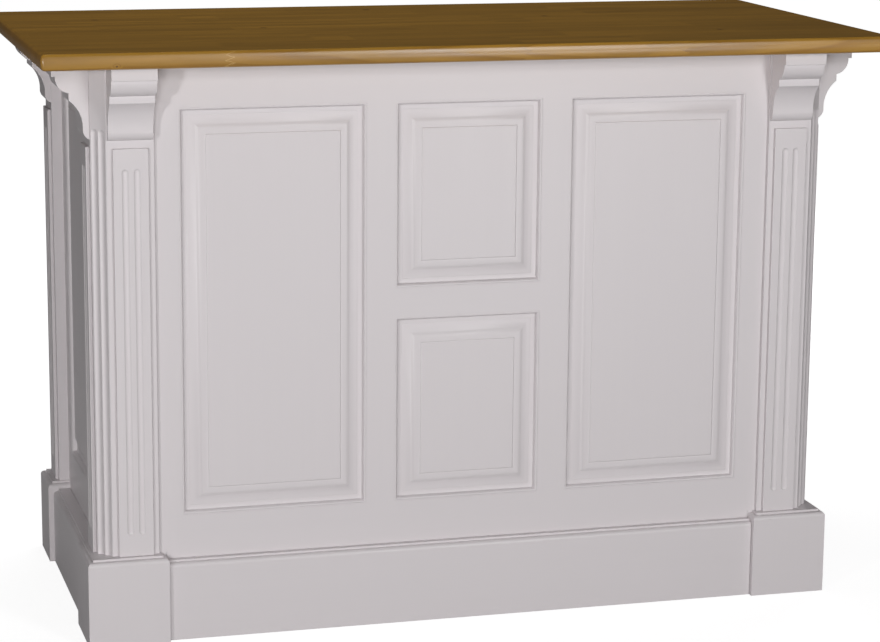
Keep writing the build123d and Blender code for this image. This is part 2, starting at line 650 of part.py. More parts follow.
# Rear rail and the cleats that hold the top
with BuildPart() as rear_rail:
    slab((-X_POST_INNER, X_POST_INNER), (Y_KICK, Y_REAR_POST_BACK), (UNDER_TOP - REAR_RAIL, UNDER_TOP))
    with Locations((0, (Y_KICK + Y_REAR_POST_BACK) / 2, UNDER_TOP - REAR_RAIL / 2)):
        Box(2 * (X_POST_INNER + RAIL_TENON), RAIL_TENON_THICK, RAIL_TENON_HIGH)
save(rear_rail.part, "rear_top_rail")

with BuildPart() as top_cleats:
    for side in (-1, 1):
        with Locations((side * CLEAT_OFFSET, Y_FRAME_BACK + CLEAT / 2, UNDER_TOP - CLEAT / 2)):
            Box(CLEAT_LONG, CLEAT, CLEAT)
        with Locations((side * (X_SIDE_BACK - CLEAT / 2), Y_SIDE_MID, UNDER_TOP - CLEAT / 2)):
            Box(CLEAT, CLEAT_LONG, CLEAT)
save(top_cleats.part, "top_cleats")
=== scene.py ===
# %% [markdown]
# # Bar counter
# A free-standing counter: a painted pine base with raised panels, fluted corner posts and corbels, under a
# top of golden waxed pine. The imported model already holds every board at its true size, so this script
# loads it as a fixed frame, then gives it mouldings, eased edges, finishes, light and a camera. Lengths are
# in metres, X runs along the counter, the front faces -Y and Z is up.

# %% Load the frame
import json
from math import cos, radians, sin

import bmesh
import bpy
from mathutils import Matrix, Vector

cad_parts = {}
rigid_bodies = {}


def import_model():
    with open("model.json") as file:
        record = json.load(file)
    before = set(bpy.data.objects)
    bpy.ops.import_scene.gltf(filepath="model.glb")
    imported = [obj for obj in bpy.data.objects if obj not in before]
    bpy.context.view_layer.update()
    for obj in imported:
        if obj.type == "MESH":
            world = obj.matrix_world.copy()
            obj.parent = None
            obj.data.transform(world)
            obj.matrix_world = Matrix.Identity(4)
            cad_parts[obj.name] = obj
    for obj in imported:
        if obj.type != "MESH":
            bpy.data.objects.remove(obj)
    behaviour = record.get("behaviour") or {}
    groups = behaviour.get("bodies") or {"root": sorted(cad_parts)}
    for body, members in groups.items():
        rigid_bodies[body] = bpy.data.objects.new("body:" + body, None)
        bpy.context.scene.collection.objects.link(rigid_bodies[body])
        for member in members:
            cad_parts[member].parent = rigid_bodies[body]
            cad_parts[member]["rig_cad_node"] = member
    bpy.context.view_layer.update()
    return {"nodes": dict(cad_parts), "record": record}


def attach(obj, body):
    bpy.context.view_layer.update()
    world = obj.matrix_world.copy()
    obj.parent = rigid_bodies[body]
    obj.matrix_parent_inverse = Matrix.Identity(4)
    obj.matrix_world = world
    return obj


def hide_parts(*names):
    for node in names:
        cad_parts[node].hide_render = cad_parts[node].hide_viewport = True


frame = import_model()
nodes = frame["nodes"]

# %% [markdown]
# ## Camera
# The picture was taken with a long lens from the front left, a little above the top. A camera could be put
# there by eye and nudged. Here its place, turn and focal length come from matching the corners of the
# panels, blocks and worktop, so that edges fall where they should. The lens has no shift, so that other
# views frame the counter as well.

# %% Camera
CAMERA_AT = Vector((-1.3705, -5.0039, 1.6090))
YAW, PITCH, ROLL = radians(15.614), radians(11.940), radians(-0.479)
FOCAL_IN_WIDTHS = 2677.2 / 880

ahead = Vector((sin(YAW) * cos(PITCH), cos(YAW) * cos(PITCH), -sin(PITCH)))
level = Vector((cos(YAW), -sin(YAW), 0))
down = ahead.cross(level)
right = cos(ROLL) * level + sin(ROLL) * down
up = sin(ROLL) * level - cos(ROLL) * down

bpy.ops.object.camera_add(location=CAMERA_AT)
camera = bpy.context.object
camera.name = "camera"
camera.rotation_euler = Matrix((right, up, -ahead)).transposed().to_euler()
camera.data.sensor_fit = "HORIZONTAL"
camera.data.lens = FOCAL_IN_WIDTHS * camera.data.sensor_width
bpy.context.scene.camera = camera
print("lens", round(camera.data.lens, 1), "mm")

# %% [markdown]
# ## Helpers for finishes
# Colours are written as sRGB hex values, as on a paint card, and turned to linear light once. One function
# adds a shader node, sets what it is given, links what is already a socket, and hands back one output. An
# input goes by name or number: on Map Range, 1 and 2 are the range that comes in, and 3 and 4 the range
# that goes out. On Mix, 0 is the share, 6 and 7 are the two colours, and output 2 is the mixed one.


# %% Colour and node helpers
def linear(code):
    """An sRGB hex colour as linear red, green, blue and full alpha."""
    parts = [int(code[i : i + 2], 16) / 255 for i in (1, 3, 5)]
    return tuple(v / 12.92 if v <= 0.04045 else ((v + 0.055) / 1.055) ** 2.4 for v in parts) + (1.0,)


def add(tree, kind, inputs, out=0, **settings):
    """Add a node, set its properties, fill or link its inputs, and return one of its outputs."""
    made = tree.nodes.new("ShaderNode" + kind)
    for key, value in settings.items():
        setattr(made, key, value)
    for socket, value in inputs.items():
        if isinstance(value, bpy.types.NodeSocket):
            tree.links.new(value, made.inputs[socket])
        else:
            made.inputs[socket].default_value = value
    return made.outputs[out]


def finish_named(name):
    """A new material: its tree and its surface shader."""
    material = bpy.data.materials.new(name)
    material.use_nodes = True
    return material, material.node_tree, material.node_tree.nodes["Principled BSDF"]


print("white is", linear("#FFFFFF")[0], "and mid grey", round(linear("#808080")[0], 3))

# %% [markdown]
# ## Paint
# The base is pine under two coats of satin off-white, a faint rose grey. Brushed paint keeps fine ridges
# along the grain and lets a little of the wood's figure show through. To the eye both are a change of sheen
# and hardly one of colour, so the noise drives the gloss and a slight bump, and the tone by little more
# than half a per cent. The brush follows the length of each board, so there are three runs of the paint.

# %% Satin paint on pine
PAINT = "#DAD4D6"
BRUSH_WIDE, BRUSH_LONG = 0.004, 0.35
FIGURE_WIDE, FIGURE_LONG = 0.011, 0.60
TONE_SWING = 0.006
SATIN = (0.36, 0.44)
RIDGE, RIDGE_SHARE = 0.00003, 0.12
# Noise runs from 0 to 1 but mostly stays in this range
NOISE_LOW, NOISE_HIGH = 0.3, 0.7


def satin_paint(name, run):
    """Paint brushed along one axis: 0 for X, 1 for Y, 2 for Z."""
    material, tree, shader = finish_named(name)
    place = add(tree, "TexCoord", {}, "Object")
    marks = []
    for wide, long, detail in ((BRUSH_WIDE, BRUSH_LONG, 3.0), (FIGURE_WIDE, FIGURE_LONG, 1.0)):
        repeat = [1 / wide] * 3
        repeat[run] = 1 / long
        spread = add(tree, "VectorMath", {0: place, 1: repeat}, operation="MULTIPLY")
        streaks = {"Vector": spread, "Scale": 1.0, "Detail": detail, "Roughness": 0.6}
        marks.append(add(tree, "TexNoise", streaks))
    cloud = add(tree, "TexNoise", {"Vector": place, "Scale": 4.0, "Detail": 2.0})
    both = add(tree, "Math", {0: marks[0], 1: marks[1]}, operation="ADD")
    tone = add(tree, "Math", {0: both, 1: cloud}, operation="ADD")
    value = {"Value": tone, 1: 3 * NOISE_LOW, 2: 3 * NOISE_HIGH, 3: 1 - TONE_SWING, 4: 1 + TONE_SWING}
    value = add(tree, "MapRange", value)
    colour = add(tree, "HueSaturation", {"Color": linear(PAINT), "Value": value})
    tree.links.new(colour, shader.inputs["Base Color"])
    gloss = {"Value": marks[0], 1: NOISE_LOW, 2: NOISE_HIGH, 3: SATIN[0], 4: SATIN[1]}
    gloss = add(tree, "MapRange", gloss)
    tree.links.new(gloss, shader.inputs["Roughness"])
    bump = add(tree, "Bump", {"Height": both, "Strength": RIDGE_SHARE, "Distance": RIDGE})
    tree.links.new(bump, shader.inputs["Normal"])
    return material


RUNS = ("lengthwise", "crosswise", "upright")
paint_along = [satin_paint("satin_paint_" + word, run) for run, word in enumerate(RUNS)]
print([m.name for m in paint_along])

# %% Give the painted pieces their paint
LENGTHWISE = ("plinth_front", "rear_kick", "rear_top", "front_top", "front_bottom", "front_middle")
CROSSWISE = ("plinth_side", "side_top_rail", "side_bottom_rail")
slot_of = {s["node"]: s["material_slot"] for s in frame["record"]["subparts"]}


def brush_run(name):
    """The axis that a painted piece was brushed along."""
    if name.startswith(LENGTHWISE):
        return 0
    return 1 if name.startswith(CROSSWISE) else 2


painted = [name for name in nodes if slot_of[name] == "paint"]
for name in painted:
    nodes[name].material_slots[0].material = paint_along[brush_run(name)]
print(len(painted), "painted pieces")

# %% [markdown]
# ## Pine
# The top is glued from six long staves. Each stave is made of shorter lengths joined with fingers, and each
# length is its own piece of a tree, with its own tone and its own growth rings. The boards behind are glued
# from narrower staves in full lengths. So one set of helpers draws any pine board: the rings run round a
# pith line, and the board cuts them, which gives long figure on the faces and arcs on the ends. A picture
# of wood would be quicker, but it could not turn the corner from a face to an edge.


# %% Grain order and staves
def in_grain_order(tree, vector, order):
    """A vector with its parts in grain order: along the fibres, across the staves, through the board."""
    split = add(tree, "SeparateXYZ", {0: vector}).node
    return add(tree, "CombineXYZ", {part: split.outputs[axis] for part, axis in zip("XYZ", order)})


def stave_of(tree, place, start, wide):
    """The number of the stave that a point lies in, and that stave's middle line."""
    across = add(tree, "SeparateXYZ", {0: place}, "Y")
    stave = add(tree, "MapRange", {"Value": across, 1: start, 2: start + wide}, clamp=False)
    stave = add(tree, "Math", {0: stave}, operation="FLOOR")
    return stave, add(tree, "Math", {0: stave, 1: wide, 2: start + wide / 2}, operation="MULTIPLY_ADD")


TOP_DEPTH, STAVE_COUNT = 0.800, 6
STAVE_WIDE = TOP_DEPTH / STAVE_COUNT
print("staves of the top are", round(STAVE_WIDE, 4), "m wide")

# %% [markdown]
# ### Finger joints
# Where two lengths of a stave meet, their ends are cut to interlocking fingers and glued. On the front edge
# one such joint shows as a small pale zigzag. A ping-pong of the height shifts the place along the stave to
# and fro, so a plain step at a joint comes out as a row of teeth, and noise keeps it from looking ruled.

# %% Finger joints
FINGER_LONG, FINGER_PITCH = 0.016, 0.0100
FINGER_WAVER, WAVER_REPEAT = (0.007, 0.0, 0.004), 150.0
STAGGER = 0.59
STOCK_LONG = 1.6
GLUE_HALF, GLUE_FADE, GLUE_SHARE = 0.0006, 0.0018, 0.7


def jointed_lengths(tree, place, facing, stave, joints):
    """The number of the length that a point lies in, and the pale glue in the first joint's fingers."""
    waver = add(tree, "TexNoise", {"Vector": place, "Scale": WAVER_REPEAT, "Detail": 1.0}, "Color")
    waver = add(tree, "VectorMath", {0: waver, 1: FINGER_WAVER, 2: place}, operation="MULTIPLY_ADD")
    split = add(tree, "SeparateXYZ", {0: waver}).node
    tooth = add(tree, "Math", {0: split.outputs["Z"], 1: FINGER_PITCH / 2}, operation="PINGPONG")
    slope = 2 * FINGER_LONG / FINGER_PITCH
    along = add(tree, "Math", {0: tooth, 1: slope, 2: split.outputs["X"]}, operation="MULTIPLY_ADD")
    along = add(tree, "Math", {0: stave, 1: STAGGER, 2: along}, operation="MULTIPLY_ADD")
    along = add(tree, "Math", {0: along, 1: STOCK_LONG / 2, 2: -STOCK_LONG / 2}, operation="WRAP")
    length = 0.0
    for joint in joints:
        past = add(tree, "Math", {0: along, 1: joint}, operation="GREATER_THAN")
        length = add(tree, "Math", {0: past, 1: length}, operation="ADD")
    gap = add(tree, "Math", {0: along, 1: joints[0]}, operation="SUBTRACT")
    gap = add(tree, "Math", {0: gap}, operation="ABSOLUTE")
    glue = add(tree, "MapRange", {"Value": gap, 1: GLUE_HALF, 2: GLUE_FADE, 3: GLUE_SHARE, 4: 0.0})
    edge = add(tree, "SeparateXYZ", {0: facing}, "Y")
    edge = add(tree, "Math", {0: edge}, operation="ABSOLUTE")
    return length, add(tree, "Math", {0: glue, 1: edge}, operation="MULTIPLY")


print("fingers", FINGER_LONG, "m long,", FINGER_PITCH, "m apart")

# %% [markdown]
# ### Growth rings
# A ring is pale where the tree grew in spring and darkens to late wood before it stops short. So the
# distance from a pith line, cut into rings and passed through a ramp, gives each ring a soft start and a
# sharp end. The line leans a little in each length, noise lets the rings drift, and knots push them aside.

# %% Growth rings
RING_WIDE = 0.007
PITH_LEAN = 0.035
RING_DRIFT, DRIFT_FAR = (2.2, 16.0, 16.0), 0.014
KNOT_PUSH = 0.010
LATE_FROM, LATE_FULL, LATE_END = 0.30, 0.86, (0.05, 0.05, 0.05, 1)


def growth_rings(tree, place, middle, level, pith, chance, push):
    """Rings round each length's own pith line: 0 in pale early wood to 1 in dark late wood."""
    luck = add(tree, "SeparateXYZ", {0: chance}).node.outputs
    x = add(tree, "SeparateXYZ", {0: place}, "X")
    side = add(tree, "MapRange", {"Value": luck[0], 3: pith[0], 4: pith[1]})
    sink = add(tree, "MapRange", {"Value": luck[1], 3: level - pith[2], 4: level - pith[3]})
    lean = add(tree, "MapRange", {"Value": luck[2], 3: -PITH_LEAN, 4: PITH_LEAN})
    side = add(tree, "Math", {0: middle, 1: side}, operation="ADD")
    side = add(tree, "Math", {0: x, 1: lean, 2: side}, operation="MULTIPLY_ADD")
    heart = add(tree, "CombineXYZ", {"X": x, "Y": side, "Z": sink})
    radius = add(tree, "VectorMath", {0: place, 1: heart}, "Value", operation="DISTANCE")
    drift = add(tree, "VectorMath", {0: place, 1: RING_DRIFT, 2: chance}, operation="MULTIPLY_ADD")
    wave = add(tree, "TexNoise", {"Vector": drift, "Scale": 1.0, "Detail": 2.0})
    radius = add(tree, "Math", {0: wave, 1: DRIFT_FAR, 2: radius}, operation="MULTIPLY_ADD")
    radius = add(tree, "Math", {0: push, 1: KNOT_PUSH, 2: radius}, operation="MULTIPLY_ADD")
    ring = add(tree, "Math", {0: radius, 1: RING_WIDE}, operation="DIVIDE")
    ring = add(tree, "Math", {0: ring}, operation="FRACT")
    late = add(tree, "ValToRGB", {"Fac": ring})
    ramp = late.node.color_ramp
    ramp.elements[0].position = LATE_FROM
    ramp.elements[1].position = LATE_FULL
    ramp.elements.new(1.0).color = LATE_END
    return late


print("rings", RING_WIDE, "m wide, drawn coarser than most so that they show")

# %% Knots
KNOT_STRETCH = (0.75, 1.0, 1.0)
KNOT_RIM, KNOT_FAR, KNOT_NEAR = 0.7, 4, 0.5


def knot_masks(tree, place, knots):
    """How far a point is inside a knot, and how near it is to one."""
    core, near = 0.0, 0.0
    for x, y, z, size in knots:
        gap = add(tree, "VectorMath", {0: place, 1: (x, y, z)}, operation="SUBTRACT")
        gap = add(tree, "VectorMath", {0: gap, 1: KNOT_STRETCH}, operation="MULTIPLY")
        away = add(tree, "VectorMath", {0: gap}, "Value", operation="LENGTH")
        inside = add(tree, "MapRange", {"Value": away, 1: size, 2: size * KNOT_RIM})
        beside = {"Value": away, 1: size * KNOT_FAR, 2: size * KNOT_NEAR}
        beside = add(tree, "MapRange", beside, interpolation_type="SMOOTHSTEP")
        core = add(tree, "Math", {0: core, 1: inside}, operation="MAXIMUM")
        near = add(tree, "Math", {0: near, 1: beside}, operation="MAXIMUM")
    return core, near


print("a knot bends the rings out to", KNOT_FAR, "times its radius")

# %% [markdown]
# ### The board
# Repeats are given per metre along, across and through the board. Fibres are streaks 1.4 mm wide and
# 140 mm long. Bands 33 mm wide run most of a length and give the top its long lights and darks. Patches
# 17 mm wide break them up. Late wood is denser, so it takes a better polish and stands a little proud, and
# a film of wax or lacquer over all of it gives a second, softer sheen.

# %% Tone of a length, and the worked surface
FIBRES = (7.0, 700.0, 700.0)
BANDS, BAND_SWING = (1.6, 30.0, 30.0), 0.17
PATCHES, PATCH_SWING = (12.0, 60.0, 60.0), 0.07
LENGTH_SWING = 0.05
FILM, FILM_SHEEN = 0.5, 0.30
PROUD, PROUD_SHARE = 0.00008, 0.4


def tone_of(tree, place, luck):
    """Brightness: one value for each length, times its bands and patches."""
    tone = {"Value": luck.outputs["Value"], 3: 1 - LENGTH_SWING, 4: 1 + LENGTH_SWING}
    tone = add(tree, "MapRange", tone)
    for repeat, swing in ((BANDS, BAND_SWING), (PATCHES, PATCH_SWING)):
        spread = {0: place, 1: repeat, 2: luck.outputs["Color"]}
        spread = add(tree, "VectorMath", spread, operation="MULTIPLY_ADD")
        streak = add(tree, "TexNoise", {"Vector": spread, "Scale": 1.0, "Detail": 2.0})
        streak = {"Value": streak, 1: NOISE_LOW, 2: NOISE_HIGH, 3: 1 - swing, 4: 1 + swing}
        streak = add(tree, "MapRange", streak)
        tone = add(tree, "Math", {0: tone, 1: streak}, operation="MULTIPLY")
    return tone


def polish(tree, shader, late, fibre, gloss):
    """Gloss from early wood to late wood, raised grain, and a film over it."""
    rough = add(tree, "MapRange", {"Value": late, 3: gloss[0], 4: gloss[1]})
    tree.links.new(rough, shader.inputs["Roughness"])
    height = add(tree, "Math", {0: late, 1: fibre}, operation="ADD")
    bump = add(tree, "Bump", {"Height": height, "Strength": PROUD_SHARE, "Distance": PROUD})
    tree.links.new(bump, shader.inputs["Normal"])
    shader.inputs["Coat Weight"].default_value = FILM
    shader.inputs["Coat Roughness"].default_value = FILM_SHEEN


print("late wood stands", PROUD * 1000, "mm proud")

# %% A pine board
FIBRE_SHARE = 0.2
END_FROM, END_FULL, END_SHARE = 0.5, 0.95, 0.55
# Another number here draws another tone and another pith line for every length
DRAW = 3.7


def pine(name, order, start, wide, joints, level, pith, knots, tints, contrast, gloss):
    """Glued pine: staves from start, each wide, with pith lines in a range of places round each length."""
    early, dark, knot, end_grain, glue_line = [linear(tint) for tint in tints]
    material, tree, shader = finish_named(name)
    coord = add(tree, "TexCoord", {}).node
    place = in_grain_order(tree, coord.outputs["Object"], order)
    facing = in_grain_order(tree, coord.outputs["Normal"], order)
    stave, middle = stave_of(tree, place, start, wide)
    length, glue = jointed_lengths(tree, place, facing, stave, joints) if joints else (0.0, 0.0)
    key = add(tree, "CombineXYZ", {"X": stave, "Y": length, "Z": DRAW})
    luck = add(tree, "TexWhiteNoise", {"Vector": key}, noise_dimensions="3D").node
    core, near = knot_masks(tree, place, knots)
    late = growth_rings(tree, place, middle, level, pith, luck.outputs["Color"], near)
    fine = add(tree, "VectorMath", {0: place, 1: FIBRES}, operation="MULTIPLY")
    fibre = add(tree, "TexNoise", {"Vector": fine, "Scale": 1.0, "Detail": 2.0})
    low, high = [value - FIBRE_SHARE / 2 for value in contrast]
    depth = add(tree, "MapRange", {"Value": late, 3: low, 4: high})
    depth = add(tree, "Math", {0: fibre, 1: FIBRE_SHARE, 2: depth}, operation="MULTIPLY_ADD")
    wood = add(tree, "Mix", {0: depth, 6: early, 7: dark}, 2, data_type="RGBA")
    wood = add(tree, "HueSaturation", {"Color": wood, "Value": tone_of(tree, place, luck)})
    end = add(tree, "SeparateXYZ", {0: facing}, "X")
    end = add(tree, "Math", {0: end}, operation="ABSOLUTE")
    end = add(tree, "MapRange", {"Value": end, 1: END_FROM, 2: END_FULL, 3: 0.0, 4: END_SHARE})
    for share, colour in ((core, knot), (end, end_grain), (glue, glue_line)):
        wood = add(tree, "Mix", {0: share, 6: wood, 7: colour}, 2, data_type="RGBA")
    tree.links.new(wood, shader.inputs["Base Color"])
    polish(tree, shader, late, fibre, gloss)
    return material


print("end grain starts where a normal is more than", END_FROM, "along the grain")

# %% [markdown]
# ### Golden waxed top
# The top is stained and waxed pine. Soft early wood drinks more stain than dense late wood, so the figure is
# quieter than in bare pine, and wax gives honey-brown a broad sheen in place of a sharp reflection. All the
# staves share one frame, so one finish covers them and each length still gets its own figure. The small knot
# and the first joint sit on the front edge, where the real ones are. The knots on the upper side are free
# choices, because the camera looks along it too flatly to show any.

# %% Golden waxed top
TOP_MIDDLE = 1.085
JOINTS = (-0.457, 0.090, 0.320, 0.392)
TOP_KNOTS = (
    (-0.668, -0.400, 1.076, 0.0022),
    (-0.33, -0.02, 1.100, 0.006),
    (0.52, -0.21, 1.100, 0.005),
    (-0.05, 0.30, 1.100, 0.007),
    (0.27, 0.11, 1.100, 0.005),
    (-0.62, 0.19, 1.100, 0.006),
)
GOLDEN = ("#AF8434", "#81571A", "#5A3814", "#A87A3A", "#D9B678")
golden_wax = pine(
    "golden_waxed_pine",
    order="XYZ",
    start=-TOP_DEPTH / 2,
    wide=STAVE_WIDE,
    joints=JOINTS,
    level=TOP_MIDDLE,
    pith=(0.09, 0.16, 0.00, 0.05),
    knots=TOP_KNOTS,
    tints=GOLDEN,
    contrast=(0.22, 0.62),
    gloss=(0.36, 0.30),
)
for name in nodes:
    if slot_of[name] == "waxed_pine":
        nodes[name].material_slots[0].material = golden_wax
print(golden_wax.name, len(golden_wax.node_tree.nodes), "nodes")

# %% [markdown]
# ## Inside boards
# Only the front can be seen, so the inside is a plain guess: pine under clear lacquer, as such shelves
# usually are, pale straw with brown late wood. Each board gets the grain along its length, so each needs
# its own grain order. The cleats at the ends lie across the others and get their own finish too.

# %% Clear pine inside
CLEAR = ("#E6CB98", "#C99C5C", "#7B4A22", "#C39B5E", "#E6CB98")
BOARDS = {
    "floor_board": ("XYZ", 0.174, ((-0.31, 0.05, 0.183, 0.011), (0.22, -0.17, 0.183, 0.008))),
    "shelves": ("XYZ", 0.609, ((-0.42, -0.11, 0.618, 0.009), (0.35, 0.13, 0.618, 0.012))),
    "centre_divider": ("ZYX", 0.0, ((0.78, 0.14, 0.009, 0.010), (0.40, 0.22, -0.009, 0.008))),
    "top_cleats": ("XYZ", 1.058, ()),
    "side_cleats": ("YXZ", 1.058, ()),
}
clear_pine = {}
for name, (order, level, knots) in BOARDS.items():
    clear_pine[name] = pine(
        "clear_lacquered_pine_" + name,
        order=order,
        start=-0.7,
        wide=0.1,
        joints=(),
        level=level,
        pith=(-0.03, 0.03, 0.02, 0.09),
        knots=knots,
        tints=CLEAR,
        contrast=(0.12, 0.72),
        gloss=(0.42, 0.36),
    )
    if name in nodes:
        nodes[name].material_slots[0].material = clear_pine[name]
print(len(clear_pine), "clear pine finishes")

# %% [markdown]
# ## Beech and zinc plate
# The loose tenons in the posts are planed beech, and the shelf pins are zinc-plated steel. Both are small
# and mostly hidden, so each gets one telling mark. Beech shows short dark flecks along the grain, here cells
# that are drawn out. Turned metal shows fine rings of tool marks, which break its highlight into lines.

# %% Beech and zinc plate
FLECKS, FLECK_CORE, FLECK_EDGE = (330.0, 330.0, 2000.0), 0.15, 0.35
PLANED = (0.62, 0.50)
TOOL_MARKS, MARK_DEEP, MARK_SHARE = (1700.0, 60.0, 60.0), 0.00005, 0.3
TURNED = (0.28, 0.42)


def steamed_beech(name):
    """Planed beech: pinkish tan with dark flecks along the grain, 3 mm long and half a millimetre wide."""
    material, tree, shader = finish_named(name)
    place = add(tree, "TexCoord", {}, "Object")
    fleck = add(tree, "VectorMath", {0: place, 1: FLECKS}, operation="MULTIPLY")
    fleck = add(tree, "TexVoronoi", {"Vector": fleck, "Scale": 1.0})
    dark = add(tree, "MapRange", {"Value": fleck, 1: FLECK_CORE, 2: FLECK_EDGE, 3: 1.0, 4: 0.0})
    wood = add(tree, "Mix", {0: dark, 6: linear("#C99E74"), 7: linear("#A87648")}, 2, data_type="RGBA")
    tree.links.new(wood, shader.inputs["Base Color"])
    rough = add(tree, "MapRange", {"Value": dark, 3: PLANED[0], 4: PLANED[1]})
    tree.links.new(rough, shader.inputs["Roughness"])
    return material


def zinc_plate(name):
    """Bright zinc on turned steel: rings of fine tool marks, drawn 0.6 mm apart so that they show."""
    material, tree, shader = finish_named(name)
    place = add(tree, "TexCoord", {}, "Object")
    marks = add(tree, "VectorMath", {0: place, 1: TOOL_MARKS}, operation="MULTIPLY")
    marks = add(tree, "TexNoise", {"Vector": marks, "Scale": 1.0, "Detail": 2.0})
    tint = add(tree, "Mix", {0: marks, 6: linear("#A9ACAF"), 7: linear("#D2D4D3")}, 2, data_type="RGBA")
    tree.links.new(tint, shader.inputs["Base Color"])
    rough = add(tree, "MapRange", {"Value": marks, 3: TURNED[0], 4: TURNED[1]})
    tree.links.new(rough, shader.inputs["Roughness"])
    bump = add(tree, "Bump", {"Height": marks, "Strength": MARK_SHARE, "Distance": MARK_DEEP})
    tree.links.new(bump, shader.inputs["Normal"])
    shader.inputs["Metallic"].default_value = 1.0
    return material


nodes["corbel_tenons"].material_slots[0].material = steamed_beech("steamed_beech")
nodes["shelf_pins"].material_slots[0].material = zinc_plate("zinc_plated_steel")
print("tenons and pins finished")

# %% [markdown]
# ## Raised panels and beads
# Each panel has a flat tongue, a hollowed border, a rounded fillet and a soft step up to its field. A bead
# with a round and the start of the hollow is mitred round it. Both are one idea: a section carried round a
# rectangle. So the piece is drawn as a carver would set it out, loop by loop: a plane of the opening's size
# is extruded to the next depth and then resized to the next inset. The corners come out as true mitres
# without any cutting. Thick paint rounds every inner corner, so the section has no sharp angle either.

# %% Sections in millimetres, as inset from the opening and depth below the frame's face
SEAT, JOINT, SLACK = 12.1, 14.4, 0.05
TONGUE_IN, PANEL_BACK = -8, 20.9
HOLLOW_FOOT = 10.66
BEAD_EDGE = JOINT - SLACK
ROUND_IN, ROUND_DEEP, ROUND_WIDE, ROUND_HIGH = 0.9, 9.3, 4.7, 8.95
ROUND_STEPS, STEP_DEGREES = 8, 10.8

bead_section = [(SLACK, SEAT), (SLACK, 0.9), (0.25, 0.5), (0.7, 0.35)]
for step in range(1, ROUND_STEPS + 1):
    turn = radians(STEP_DEGREES * step)
    bead_section.append((ROUND_IN + ROUND_WIDE * sin(turn), ROUND_DEEP - ROUND_HIGH * cos(turn)))
bead_section += [(5.9, 9.55), (6.6, 9.9), (7.6, 10.2), (8.8, 10.42), (10.2, 10.58)]
bead_section += [(11.6, 10.66), (13.0, 10.68), (14.0, HOLLOW_FOOT), (BEAD_EDGE, 10.95), (BEAD_EDGE, SEAT)]
print(len(bead_section), "points in the bead's section")

# %% The panel's section, from slopes up to each inset
HOLLOW = ((15.2, 0.03), (17, 0.08), (19, 0.14), (21.5, 0.21), (24, 0.29))
HOLLOW += ((27, 0.38), (30, 0.46), (33, 0.53), (36.6, 0.57))
FILLET = ((37.3, 0.42), (38.0, 0.26), (39.0, 0.17), (40.6, 0.10))
FILLET += ((43, 0.05), (45, 0.0), (46.5, -0.06), (47.5, -0.12))
STEP = ((48.0, 0.0), (48.4, 0.50), (48.9, 1.00), (49.4, 1.00))
STEP += ((49.9, 0.60), (50.4, 0.25), (51.0, 0.08), (51.8, 0.0))

panel_section = [(TONGUE_IN, PANEL_BACK), (TONGUE_IN, SEAT), (JOINT, SEAT), (JOINT, 11.0)]
inset, depth = JOINT, HOLLOW_FOOT
for way, slope in HOLLOW + FILLET + STEP:
    depth -= slope * (way - inset)
    inset = way
    panel_section.append((inset, depth))
print(len(panel_section), "points in the panel's section, field", round(depth, 2), "mm below the face")

# %% Carry a section round a rectangle
MM = 1000
MERGE = 0.00001
SMOOTH = radians(35)


def moulding(name, wide, high, section, ring):
    """Model a panel, or a ring of bead, that faces the front with its opening round the origin."""
    bpy.ops.object.select_all(action="DESELECT")
    bpy.ops.mesh.primitive_plane_add(size=1, rotation=(radians(90), 0, 0))
    bpy.ops.object.transform_apply(rotation=True)
    piece = bpy.context.object
    piece.name = name
    bpy.ops.object.mode_set(mode="EDIT")
    bpy.ops.mesh.select_mode(type="EDGE")
    bpy.ops.mesh.select_all(action="SELECT")
    if ring:
        bpy.ops.mesh.delete(type="ONLY_FACE")
        bpy.ops.mesh.select_all(action="SELECT")
    now_wide, now_high, now_deep = 1.0, 1.0, 0.0
    for count, (inset, depth) in enumerate(section + section[:1] if ring else section):
        next_wide, next_high = wide - 2 * inset / MM, high - 2 * inset / MM
        move = (0, depth / MM - now_deep, 0)
        if count:
            bpy.ops.mesh.extrude_region_move(TRANSFORM_OT_translate={"value": move})
        else:
            bpy.ops.transform.translate(value=move)
        grow = (next_wide / now_wide, 1, next_high / now_high)
        bpy.ops.transform.resize(value=grow, center_override=(0, depth / MM, 0))
        now_wide, now_high, now_deep = next_wide, next_high, depth / MM
    bpy.ops.mesh.select_all(action="SELECT")
    bpy.ops.mesh.remove_doubles(threshold=MERGE)
    bpy.ops.mesh.normals_make_consistent(inside=False)
    bpy.ops.object.mode_set(mode="OBJECT")
    bpy.ops.object.shade_smooth_by_angle(angle=SMOOTH)
    return piece


FRONT_FACE, SIDE_FACE = -0.295, 0.6805
TALL, UPPER, LOWER, SIDE = (0.3475, 0.754), (0.280, 0.3455), (0.280, 0.351), (0.347, 0.754)
models = {}
for size in (TALL, UPPER, LOWER, SIDE):
    panel = moulding("panel_model", *size, panel_section, False)
    models[size] = panel, moulding("bead_model", *size, bead_section, True)
print([len(panel.data.polygons) for panel, bead in models.values()], "faces in the panels")

# %% [markdown]
# ### Standing in
# A new piece never changes the imported one that it follows. It rides on the counter's root body and hides
# the piece that it replaces, so that only one of the two is shown. Copies and joins are Blender's own tools,
# which work on whatever is selected and active, so each helper sets that first.


# %% Copy, join and stand in for imported pieces
def copy_of(source, name):
    """A copy with its own mesh, selected and active."""
    bpy.ops.object.select_all(action="DESELECT")
    source.select_set(True)
    bpy.context.view_layer.objects.active = source
    bpy.ops.object.duplicate()
    piece = bpy.context.object
    piece.name = name
    return piece


def joined(pieces, name):
    """Several pieces as one object, with their meshes side by side."""
    bpy.ops.object.select_all(action="DESELECT")
    for piece in pieces:
        piece.select_set(True)
    bpy.context.view_layer.objects.active = pieces[0]
    if len(pieces) > 1:
        bpy.ops.object.join()
    pieces[0].name = name
    return pieces[0]


